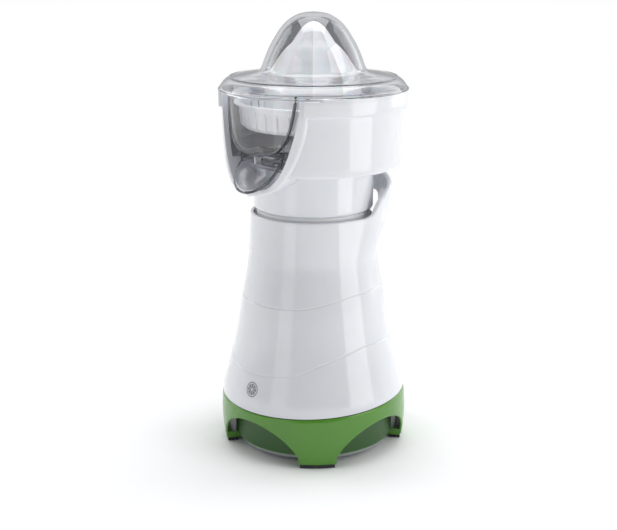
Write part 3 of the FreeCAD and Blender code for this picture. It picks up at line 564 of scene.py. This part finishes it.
def make_skirt():
    """The green foot ring with its arches, the wall behind them and the leg soles."""
    columns = []
    steepest = math.degrees(math.acos(FOOT_TOP / ARCH_TOP))
    for middle in (0, 90, 180, 270):
        for tau in spread(-steepest, steepest, 33):
            x, z = ARCH_HALF * math.sin(math.radians(tau)), ARCH_TOP * math.cos(math.radians(tau))
            lean = math.hypot(x / ARCH_HALF ** 2, z / ARCH_TOP ** 2)
            phi = middle + math.degrees(math.asin(x / flow(SKIRT_TABLE, z)))
            columns.append((phi, z, x / ARCH_HALF ** 2 / lean, z / ARCH_TOP ** 2 / lean))
        leg = math.degrees(math.asin(ARCH_HALF * math.sin(math.radians(steepest)) / SKIRT_TABLE[0][1]))
        for phi in spread(middle + leg + 2.0, middle + 90 - leg - 2.0, 7):
            columns.append((phi, FOOT_TOP, 0.0, 1.0))
    parts = [loops_mesh([skirt_column(*c) for c in columns])]
    inner_wall = rounded([(60, 7), (62.5, 7), (62.5, 36, 3), (70.6, 36), (70.6, 38.5), (65, 38.5), (65, 41),
                          (63, 41), (63, 38.5), (54, 38.5), (54, 36), (60, 36)], 0.6, 3)
    parts.append(lathe(inner_wall, 120))
    seat = rounded([(54, 7), (60.4, 7), (60.4, 10), (54, 10)], 0.4, 2)
    parts.append(lathe(seat, 120))
    for phi in LEG_ANGLES:
        sole = rounded([(60.2, FOOT_TOP), (70.2, FOOT_TOP), (70.2, SOLE_TOP), (60.2, SOLE_TOP)], 0.5, 3)
        parts.append(lathe(sole, 13, phi - 12, 24))
    piece = mesh_piece("green_skirt", *join_parts(parts), green_abs, 50)
    piece.data.materials.append(green_painted_shade)
    # The recess behind the arches takes the darker green, which is painted shade.
    for face in piece.data.polygons:
        x, y, z = face.center / MM
        if math.hypot(x, y) < RECESS_R and z > SOLE_TOP + 0.5:
            face.material_index = 1
    return place(piece, "base", "green", "skirt")


def make_feet():
    """Four pads, each with a bevelled sole and two tread grooves."""
    parts = []
    tread = rounded([(62, 0.4), (62.4, 0), (64.2, 0), (64.2, 0.7), (65, 0.7), (65, 0), (67, 0), (67, 0.7),
                     (67.8, 0.7), (67.8, 0), (69.6, 0), (70, 0.4), (70, FOOT_TOP), (62, FOOT_TOP)], 0.2, 2)
    for phi in LEG_ANGLES:
        parts.append(lathe(tread, 15, phi - 11, 22))
    piece = mesh_piece("rubber_pads", *join_parts(parts), moulded_rubber)
    return place(piece, "base", "rubber", "rubber_feet")


def make_slice_mark():
    """A small printed citrus slice: a peel ring and eight segments, lying on the shell."""
    parts, proud = [], 0.06

    def spot(r, angle):
        u, v = r * math.sin(angle), r * math.cos(angle)
        z = MARK_Z + v
        radius = base_radius(0, z) + proud
        return polar(math.degrees(u / radius), radius, z)

    peel = [[spot(r, math.radians(6 * k)) for r in (4.9, 5.7)] for k in range(60)]
    points = [p for pair in peel for p in pair]
    faces = [(2 * k, 2 * k + 1, (2 * k + 3) % 120, (2 * k + 2) % 120) for k in range(60)]
    parts.append((points, faces))
    for s in range(8):
        grid = []
        for r in (0.9, 1.8, 2.8, 3.7, 4.2):
            reach = 22.5 * (1 - 0.42 / r) * (0.86 if r > 4 else 1.0)
            grid.append([spot(r, math.radians(45 * s + reach * t)) for t in (-0.95, -0.5, 0, 0.5, 0.95)])
        points = [p for row in grid for p in row]
        faces = [(5 * a + b, 5 * a + b + 1, 5 * a + b + 6, 5 * a + b + 5) for a in range(4) for b in range(4)]
        parts.append((points, faces))
    return place(mesh_piece("slice_mark", *join_parts(parts), pad_ink), "base", "gloss_white")


# ---- press head -----------------------------------------------------------
BAND_FROM = 69.0                        # the band under the brim is all that reaches further out
FLANGE_BACK_R = 65.2                    # where the flange ends, inside the bowl's wall


def u_half_width(outline, z):
    """Half width of a U outline at a height."""
    table = tuple(sorted((b, a) for a, b in outline))
    return flow(table, z) if z > table[0][0] else 0.0


def window_angle(r, z):
    """The angle from the front at which the bowl's wall starts, beside the window."""
    if r < OPENING_BACK + 0.5:
        return 0.0
    half = u_half_width(FLANGE_OUTLINE, z)
    if r < BAND_FROM:
        half = (half + u_half_width(WINDOW_OUTLINE, z)) / 2
    across = math.degrees(math.asin(min(half / r, 1.0)))
    behind = math.degrees(math.acos(OPENING_BACK / r))
    return min(across, behind)


def bowl_pairs():
    """Outer and inner points of the bowl's wall, from the hole in its floor up to its rim."""
    floor = BOWL_Z0 + WALL
    pairs = [((r, BOWL_Z0), (r, floor)) for r in (12.0, 24.0, 36.0, 42.4, 44.0, 47.0, 50.0, 56.0)]
    pairs += [((63.0, BOWL_Z0), (61.0, floor)), ((64.6, BOWL_Z0 + 0.35), (62.6, floor + 0.5)),
              ((65.8, BOWL_Z0 + 1.2), (63.5, floor + 1.5)), ((66.5, BOWL_Z0 + 3.0), (63.95, floor + 3.2))]
    for z in spread(229.5, 265.5, 13):
        pairs.append(((66.6 + 1.35 * (z - 226) / 40, z), (64.0 + 1.45 * (z - 227) / 40, z)))
    band = ((68.15, 266.9), (68.6, 267.4), (71.2, 267.5), (71.8, 267.75), (BRIM_R, 268.3), (BRIM_R, 272.0),
            (BRIM_R, 276.0), (BRIM_R, BRIM_Z - 0.7), (BRIM_R - 0.2, BRIM_Z - 0.2), (BRIM_R - 0.8, BRIM_Z))
    inside = ((65.5, 267.0), (65.5, 267.6), (65.55, 268.4), (65.6, 269.2), (65.7, 270.0), (65.75, 273.0),
              (65.8, 276.5), (65.9, BRIM_Z - 0.7), (66.1, BRIM_Z - 0.2), (66.6, BRIM_Z))
    return pairs + list(zip(band, inside))


def bowl_wall():
    """The bowl's skin from one side of the window round the back to the other."""
    pairs, columns = bowl_pairs(), 181
    outline = [p[0] for p in pairs] + [p[1] for p in reversed(pairs)]
    starts = [window_angle(r, z) for r, z in [p[0] for p in pairs]]
    starts += starts[::-1]
    loops = []
    for j in range(columns):
        u = j / (columns - 1)
        loop = []
        for (r, z), start in zip(outline, starts):
            phi = start + (360 - 2 * start) * u
            under_apron = z > BRIM_Z - 0.9 and abs(signed(phi)) < APRON_HALF + 0.5
            loop.append(polar(phi, r, z - (APRON_DEPTH if under_apron else 0.0)))
        loops.append(loop)
    points, faces = loops_mesh(loops, closed=False, capped=False)
    size, last = len(outline), (columns - 1) * len(outline)
    for i in range(len(pairs) - 1):
        if starts[i] > 0:
            for first in (0, last):
                faces.append((first + i, first + i + 1, first + size - 2 - i, first + size - 1 - i))
    return points, faces


def front_y(x):
    """Front of the window's flange, on a cylinder."""
    return -math.sqrt(FLANGE_R ** 2 - x * x)


def flange_loop(outer, inner, side):
    """Section of the window's flange and shroud, from its outer back edge round the front."""
    (xo, zo), (xi, zi) = outer, inner
    width = math.hypot(xo - xi, zo - zi)
    dx, dz = (xo - xi) / width, (zo - zi) / width
    low = zo < BOWL_Z0 + 4
    back = SHROUD_BACK if low else -math.sqrt(max(FLANGE_BACK_R ** 2 - xo * xo, 0.0))
    inner_back = SHROUD_BACK - 2 if low else -math.sqrt(FLANGE_BACK_R ** 2 - xi * xi)
    points, soft, crisp = [], 1.5, 1.0
    front = front_y(xo) + soft
    for y in spread(back, front, 8):
        taper = 1 - 0.15 * ease((y - front) / (SHROUD_BACK - front)) if low else 1.0
        points.append((xo * taper, y, SHROUD_Z + (zo - SHROUD_Z) * taper))
    for k in range(1, 6):
        a = math.radians(18 * k)
        off = soft * (1 - math.cos(a))
        x, z = xo - dx * off, zo - dz * off
        points.append((x, front_y(x) + soft * (1 - math.sin(a)), z))
    for k in range(5, -1, -1):
        a = math.radians(18 * k)
        off = crisp * (1 - math.cos(a))
        x, z = xi + dx * off, zi + dz * off
        points.append((x, front_y(x) + crisp * (1 - math.sin(a)), z))
    for y in spread(front_y(xi) + 2 * crisp, inner_back, 5):
        points.append((xi, y, zi))
    return [(side * x, y, z) for x, y, z in points]


def window_flange():
    """The U of the window, from its left top round below to its right top."""
    outers, inners = along(FLANGE_OUTLINE, 40), along(WINDOW_OUTLINE, 40)
    outers = [(x, min(z, BRIM_Z - APRON_DEPTH)) for x, z in outers]
    inners = [(x, min(z, BRIM_Z - APRON_DEPTH)) for x, z in inners]
    loops = [flange_loop(o, i, -1) for o, i in zip(outers[:0:-1], inners[:0:-1])]
    loops += [flange_loop(o, i, 1) for o, i in zip(outers, inners)]
    return loops_mesh(loops, closed=False)


def shroud_back():
    """The wall that closes the spout shroud towards the collar."""
    shrink = 0.87
    rim = [(x * shrink, SHROUD_Z + (z - SHROUD_Z) * shrink)
           for x, z in along(FLANGE_OUTLINE, 40) if z < BOWL_Z0 + 2]
    outline = [(-x, z) for x, z in rim[:0:-1]] + rim
    faces_y = (SHROUD_BACK - 3.9, SHROUD_BACK + 0.2)
    return loops_mesh([[(x, y, z) for x, z in outline] for y in faces_y], closed=False)


def make_housing():
    """The white bowl with its window and the shroud round the spout."""
    parts = [bowl_wall(), window_flange(), shroud_back()]
    piece = mesh_piece("bowl_housing", *join_parts(parts), gloss_abs, 45)
    return place(piece, "head", "gloss_white", "housing")


def collar_outline(in_key):
    """The gearbox collar, its floor and the plug below it, which three keyways cross."""
    foot = COLLAR_Z - 3 if in_key else PLUG_Z
    corners = [(33.3, foot, 0.3), (35.5, foot, 0.3), (35.5, COLLAR_Z, 0.4), (COLLAR_R, COLLAR_Z, 2.6),
               (COLLAR_R, BOWL_Z0, 0.2), (43.8, BOWL_Z0, 0.2), (43.8, 191.5, 0.6), (5.5, 191.5, 0.2),
               (5.5, 186.5, 0.2), (8, 186.5, 0.2), (8, COLLAR_Z, 0.3), (33.3, COLLAR_Z, 0.3)]
    return rounded(corners, 0.3, 6)


def make_collar():
    """The turned gearbox collar with three keyways in its plug."""
    loops = []
    for middle in KEY_ANGLES:
        for phi in spread(middle - KEY_HALF + 0.1, middle + KEY_HALF - 0.1, 7):
            loops.append([polar(phi, r, z) for r, z in collar_outline(True)])
        for phi in spread(middle + KEY_HALF + 0.1, middle + 120 - KEY_HALF - 0.1, 45):
            loops.append([polar(phi, r, z) for r, z in collar_outline(False)])
    piece = mesh_piece("gearbox_collar", *loops_mesh(loops), gloss_abs, 40)
    return place(piece, "head", "gloss_white", "gearbox_case")


# ---- clear pieces, strainer and cone --------------------------------------
PARTING_Z = 288.8                       # where the two halves of the lid's mould meet
# Rows of (radius, height) down the outside of the lid's dome and then of its brim.
LID_OUTER = ((0, 336.4), (5.6, 335.9), (11, 334.7), (15.8, 332.4), (20.4, 329), (25.0, 323.9), (29, 317.8),
             (32.6, 311.6), (35.4, 305.5), (37.6, 300.0), (39.4, 295.2))
BRIM_OUTER = ((40.6, 293.4), (43.0, 292.6), (52, 291.1), (60, 289.7), (63.2, 288.8), (65.6, 287.6),
              (68.0, 285.6), (70.0, 283.0), (71.3, 281.2), (72.0, 280.4))
LID_WALL = 1.8
DOME_Z, DOME_R = 290.0, 40.0            # where the dome meets the brim


def lid_outline(drop):
    """Closed outline of the lid; drop lowers its bottom edge where the apron is."""
    outer = along(LID_OUTER, 34) + list(BRIM_OUTER)
    inner = []
    for i in range(len(outer)):
        (r0, z0), (r1, z1) = outer[max(i - 1, 0)], outer[min(i + 1, len(outer) - 1)]
        length = math.hypot(r1 - r0, z1 - z0)
        inner.append((max(outer[i][0] + LID_WALL * (z1 - z0) / length, 0.0),
                      outer[i][1] - LID_WALL * (r1 - r0) / length))
    inner[0] = (0.0, LID_OUTER[0][1] - LID_WALL)
    edge = BRIM_Z - drop
    bottom = [(BRIM_R, edge + 0.5), (71.7, edge + 0.1), (70.6, edge + 0.1), (70.25, edge + 0.5),
              (70.2, BRIM_Z + 0.6)]
    return outer + bottom + inner[-2::-1]


def make_lid():
    """The domed lid; the inside of its dome gets a dark tint of painted shade."""
    loops = []
    for phi in spread(0.1 - APRON_HALF, APRON_HALF - 0.1, 49):
        loops.append([polar(phi, r, z) for r, z in lid_outline(APRON_DEPTH - 0.1)])
    for phi in spread(APRON_HALF + 0.1, 359.9 - APRON_HALF, 120):
        loops.append([polar(phi, r, z) for r, z in lid_outline(0.0)])
    piece = mesh_piece("clear_lid", *loops_mesh(loops), clear_san, 40)
    piece.data.materials.append(dome_painted_shade)
    for face in piece.data.polygons:
        out = face.center / MM - Vector((0, 0, DOME_Z))
        if out.z > 0 and math.hypot(out.x, out.y) < DOME_R and face.normal.dot(out) < 0:
            face.material_index = 1
    return place(piece, "lid", "clear", "lid")


def make_brim_line():
    """A fine bead at the parting line of the lid's mould, round the shoulder of its brim, drawn ink grey as
    painted shade for the dark line along the shoulder.
    """
    shoulder = [(r, z) for r, z in along(LID_OUTER, 34) + list(BRIM_OUTER) if r > 50]
    r, z = min(shoulder, key=lambda point: abs(point[1] - PARTING_Z))
    bead = [(r - 0.4, z - 0.4), (r + 0.5, z - 0.6), (r + 0.5, z + 0.2), (r - 0.4, z + 0.4)]
    return place(mesh_piece("brim_line", *lathe(bead), edge_painted_shade), "lid", "clear")


# Rows of (radius, height) down the cone's two tiers, and of (height, depth) between its ribs.
CONE_UPPER = ((0, 329.3), (3.2, 328.6), (6, 327), (9.4, 324.0), (12.3, 320), (14.8, 316.4), (17, 313))
CONE_LOWER = ((17, 313), (20.8, 310.0), (24.2, 306.4), (27.6, 302.4), (30.5, 298), (33.2, 294.4), (35, 291),
              (36.8, 286), (38.0, 278), (39.0, 270), (40, 262))
RIB_DEPTH = ((262, 2.6), (276, 3.2), (288, 4.6), (296, 5.0), (304, 4.0), (310, 2.0), (313, 0.8), (316, 1.6),
             (321, 1.5), (326, 0.8), (329.3, 0.0))
RIBS, RIB_TURN, LOBE_FLATNESS = 10, 6, 0.55
CONE_WALL, CONE_COLUMNS = 2.2, 240


def make_cone():
    """Ten sharp ribs with hollow lobes between them, over two tiers, on a thin milky wall."""
    profile = along(CONE_UPPER, 22) + along(CONE_LOWER, 48)[1:]
    loops = []
    for j in range(CONE_COLUMNS):
        phi = 360 / CONE_COLUMNS * j
        lobe = abs(math.sin(math.radians(RIBS / 2 * (phi - RIB_TURN)))) ** LOBE_FLATNESS
        outer = [(max(r - flow(RIB_DEPTH, z) * lobe, 0.0), z) for r, z in profile]
        inner = [(max(r - CONE_WALL - 0.9 * flow(RIB_DEPTH, z), 0.0), z - (1.8 if z > 300 else 0.4))
                 for r, z in profile if z > 264]
        foot = [(39.6 - 2.6 * lobe, 262.0), (37.4 - 2.6 * lobe, 262.0)]
        loops.append([polar(phi, r, z) for r, z in outer[:-1] + foot + inner[::-1]])
    hub = rounded([(4.15, 266), (9, 266), (9, 318), (4.15, 318)], 0.5, 3)
    parts = [loops_mesh(loops), lathe(hub, 48)]
    return place(mesh_piece("reaming_cone", *join_parts(parts), frosted_pp, 30), "cone", "frosted", "cone")


SLOTS, FIRST_SLOT, SLOT_WIDTH = 36, 95.0, 1.8


def make_strainer():
    """Basket with a rolled rim and slots that run from its side on to its floor."""
    basket = rounded([(11.5, 251), (51.5, 251, 3.5), (55.3, 254.2, 2.5), (57, 269.6, 0.4), (60.4, 269.6, 0.5),
                      (60.4, 271, 0.5), (55.5, 271, 1.0), (53.6, 254.8, 2.0), (51, 252.6, 2.0), (13.3, 252.6),
                      (13.3, 264), (11.5, 264)], 0.5, 6)
    piece = mesh_piece("basket_strainer", *lathe(basket, 216), white_pp, 40)
    blocks = []
    for k in range(SLOTS):
        a = math.radians(FIRST_SLOT + 360 / SLOTS * k)
        forward, across = Vector((math.sin(a), -math.cos(a), 0)), Vector((math.cos(a), math.sin(a), 0))
        section = rounded([(41, 250), (60, 250), (60, 266.5, 0.1), (41, 266.5, 0.1)], 0.1, 1)
        loops = []
        for w in (-SLOT_WIDTH / 2, SLOT_WIDTH / 2):
            loops.append([tuple(forward * r + across * w + Vector((0, 0, z))) for r, z in section])
        blocks.append(loops_mesh(loops, closed=False))
    carve(piece, *join_parts(blocks), sharp=35)
    return place(piece, "strainer", "white_part", "strainer")


SCOOP_CENTRE, SCOOP_SLOPE = Vector((0, -59, 229)), 47.0
SCOOP_HALF = (20.3, 25.2, 7.2)          # half width, half length and depth
SCOOP_WALL, SCOOP_BACK = 1.8, -8.0
HINGE_Y, HINGE_Z = -51.0, 231.5


def make_spout():
    """Clear scoop: half an ellipsoid shell with a back wall, a rolled rim and two hinge stubs."""
    slope = math.radians(SCOOP_SLOPE)
    ahead = Vector((0, -math.cos(slope), -math.sin(slope)))
    under = Vector((0, math.sin(slope), -math.cos(slope)))
    (a, b, c), wall = SCOOP_HALF, SCOOP_WALL

    def arc(p, shrink, deep):
        reach = b - shrink
        k = math.sqrt(max(1 - (p / reach) ** 2, 0.0)) if abs(p) < reach else 0.0
        out = []
        for angle in spread(-90, 90, 25):
            t = math.radians(angle)
            x, d = (a - shrink) * k * math.sin(t), (c - shrink) * k * math.cos(t) * deep
            out.append(SCOOP_CENTRE + Vector((x, 0, 0)) + ahead * p + under * d)
        return out

    places = [SCOOP_BACK, SCOOP_BACK + wall, SCOOP_BACK + wall + 0.01]
    places += [b * math.sin(math.radians(t)) for t in spread(-10, 90, 34)]
    loops = []
    for p in places:
        outer, inner = arc(p, 0.0, 1.0), arc(p, wall, 0.0 if p <= SCOOP_BACK + wall else 1.0)
        left, right = (outer[0] + inner[0]) / 2 - under * 0.45, (outer[-1] + inner[-1]) / 2 - under * 0.45
        loops.append([tuple(v) for v in outer + [right] + inner[::-1] + [left]])
    parts = [loops_mesh(loops, closed=False)]
    for x0, x1 in ((14.5, 23.6), (-23.6, -14.5)):
        loops = []
        for x, r in ((x0, 1.2), (x0 + 0.3, 1.5), (x1 - 0.3, 1.5), (x1, 1.2)):
            turns = [math.radians(15 * k) for k in range(24)]
            loops.append([(x, HINGE_Y + r * math.cos(t), HINGE_Z + r * math.sin(t)) for t in turns])
        parts.append(loops_mesh(loops, closed=False))
    piece = mesh_piece("tipping_spout", *join_parts(parts), container_painted_shade_san, 35)
    piece.data.materials.append(edge_painted_shade)
    # The faces of the rolled rim take the ink grey of painted shade.
    for face in piece.data.polygons:
        offset = face.center / MM - SCOOP_CENTRE
        if offset.dot(under) < 0.02 and offset.dot(ahead) > SCOOP_BACK + wall:
            face.material_index = 1
    return place(piece, "spout", "clear", "spout")


def make_bay_edge():
    """The bead round the mouth of the container's front bay, drawn ink grey as painted shade for the dark
    line along the bay's edge.
    """
    section = rounded([(0.1, 65.9), (1.3, 65.9), (1.3, 64.6), (0.1, 64.6)], 0.3, 2)
    half = [(x, z) for x, z in along(BAY_OUTLINE, 40) if z < BRIM_Z - 2]
    path = [(-x, z) for x, z in half[:0:-1]] + half
    loops = []
    for i, (x, z) in enumerate(path):
        (xa, za), (xb, zb) = path[max(i - 1, 0)], path[min(i + 1, len(path) - 1)]
        length = math.hypot(xb - xa, zb - za)
        nx, nz = -(zb - za) / length, (xb - xa) / length
        loop = []
        for inward, r in section:
            px, pz = x + nx * inward, z + nz * inward
            loop.append((px, -math.sqrt(r * r - px * px), pz))
        loops.append(loop)
    piece = mesh_piece("bay_edge", *loops_mesh(loops, closed=False), edge_painted_shade)
    return place(piece, "container", "clear")


# ---- studio ---------------------------------------------------------------
VIEW_AZIMUTH, VIEW_DROP = 42.5, 15.31   # degrees from the front, and degrees that the camera looks down
CAMERA_R, CAMERA_Z = 938.59, 398.2      # its distance from the spin axis and its height
SENSOR_MM, LENS_MM = 36.0, 72.467
FRAME_SHIFT = -0.0081                   # sets the machine a little right of the middle
TABLE_R, TABLE_SIDES = 600, 72


def make_floor():
    """A round pale table top under the machine; beyond it there is only the white room."""
    rim = [polar(360 / TABLE_SIDES * k, TABLE_R, 0) for k in range(TABLE_SIDES)]
    mesh_piece("pale_floor", rim, [tuple(range(TABLE_SIDES))], pale_paper)


def lamp(name, size, power, azimuth, height, distance, lift=0.15):
    """A soft box facing the machine, in metres and watts. Azimuth is from the front towards +X, and
    lift is the height that it is aimed at."""
    data = bpy.data.lights.new(name, "AREA")
    data.shape, data.size, data.size_y, data.energy = "RECTANGLE", size[0], size[1], power
    box = bpy.data.objects.new(name, data)
    a = math.radians(azimuth)
    box.location = (distance * math.sin(a), -distance * math.cos(a), height)
    box.rotation_euler = (Vector((0, 0, lift)) - box.location).to_track_quat("-Z", "Y").to_euler()
    bpy.context.scene.collection.objects.link(box)


def make_studio():
    """A white cove below eye level; above it the room is dim behind the camera and bright behind the
    machine, with tall soft boxes around and one overhead."""
    world = bpy.data.worlds.new("studio")
    bpy.context.scene.world = world
    world.use_nodes = True
    tree = world.node_tree
    where = add(tree, "ShaderNodeTexCoord")
    turned = add(tree, "ShaderNodeMapping", [("Vector", where, "Generated")],
                 in_Rotation=(0, 0, math.radians(-VIEW_AZIMUTH)))
    parts = add(tree, "ShaderNodeSeparateXYZ", [("Vector", turned, "Vector")])
    depth = add(tree, "ShaderNodeMapRange", [("Value", parts, "Y")], in_1=-1.0, in_2=1.0)
    ramp = add(tree, "ShaderNodeValToRGB", [("Fac", depth, "Result")])
    stops = ramp.color_ramp.elements
    stops[0].position, stops[0].color = 0.0, linear("#505154")
    stops[1].position, stops[1].color = 0.9, linear("#d7d8da")
    stops.new(0.5).color = linear("#adaeb1")
    height = add(tree, "ShaderNodeMapRange", [("Value", parts, "Z")], in_1=-0.06, in_2=0.03)
    room = add(tree, "ShaderNodeMix", [("Factor", height, "Result"), (7, ramp, "Color")], data_type="RGBA",
               in_6=linear("#ffffff"))
    tree.links.new(room.outputs[2], tree.nodes["Background"].inputs["Color"])
    lamp("key_box", (0.8, 1.8), 7.5, VIEW_AZIMUTH + 62, 0.45, 1.25)
    lamp("rear_right_box", (0.8, 1.5), 5.0, VIEW_AZIMUTH + 120, 0.70, 1.25)
    lamp("left_box", (0.5, 1.5), 1.8, VIEW_AZIMUTH - 42, 0.40, 1.25)
    lamp("rear_left_box", (0.5, 1.2), 3.0, VIEW_AZIMUTH - 115, 0.70, 1.25)
    lamp("top_box", (1.6, 1.6), 20, VIEW_AZIMUTH + 180, 1.9, 0.2)


def make_camera():
    """The camera, level from side to side and without depth of field."""
    data = bpy.data.cameras.new("camera")
    data.sensor_width, data.lens = SENSOR_MM, LENS_MM
    data.shift_x = FRAME_SHIFT
    data.clip_end = 100
    camera = bpy.data.objects.new("camera", data)
    camera.location = [c * MM for c in polar(VIEW_AZIMUTH, CAMERA_R, CAMERA_Z)]
    camera.rotation_euler = (math.radians(90 - VIEW_DROP), 0, math.radians(VIEW_AZIMUTH))
    bpy.context.scene.collection.objects.link(camera)
    bpy.context.scene.camera = camera
    bpy.context.scene.view_settings.view_transform = "Standard"


finish_frame()
make_base_shell()
make_skirt()
make_feet()
make_slice_mark()
make_housing()
make_collar()
make_strainer()
make_cone()
make_lid()
make_brim_line()
make_spout()
make_bay_edge()
make_floor()
make_studio()
make_camera()

bpy.context.view_layer.update()
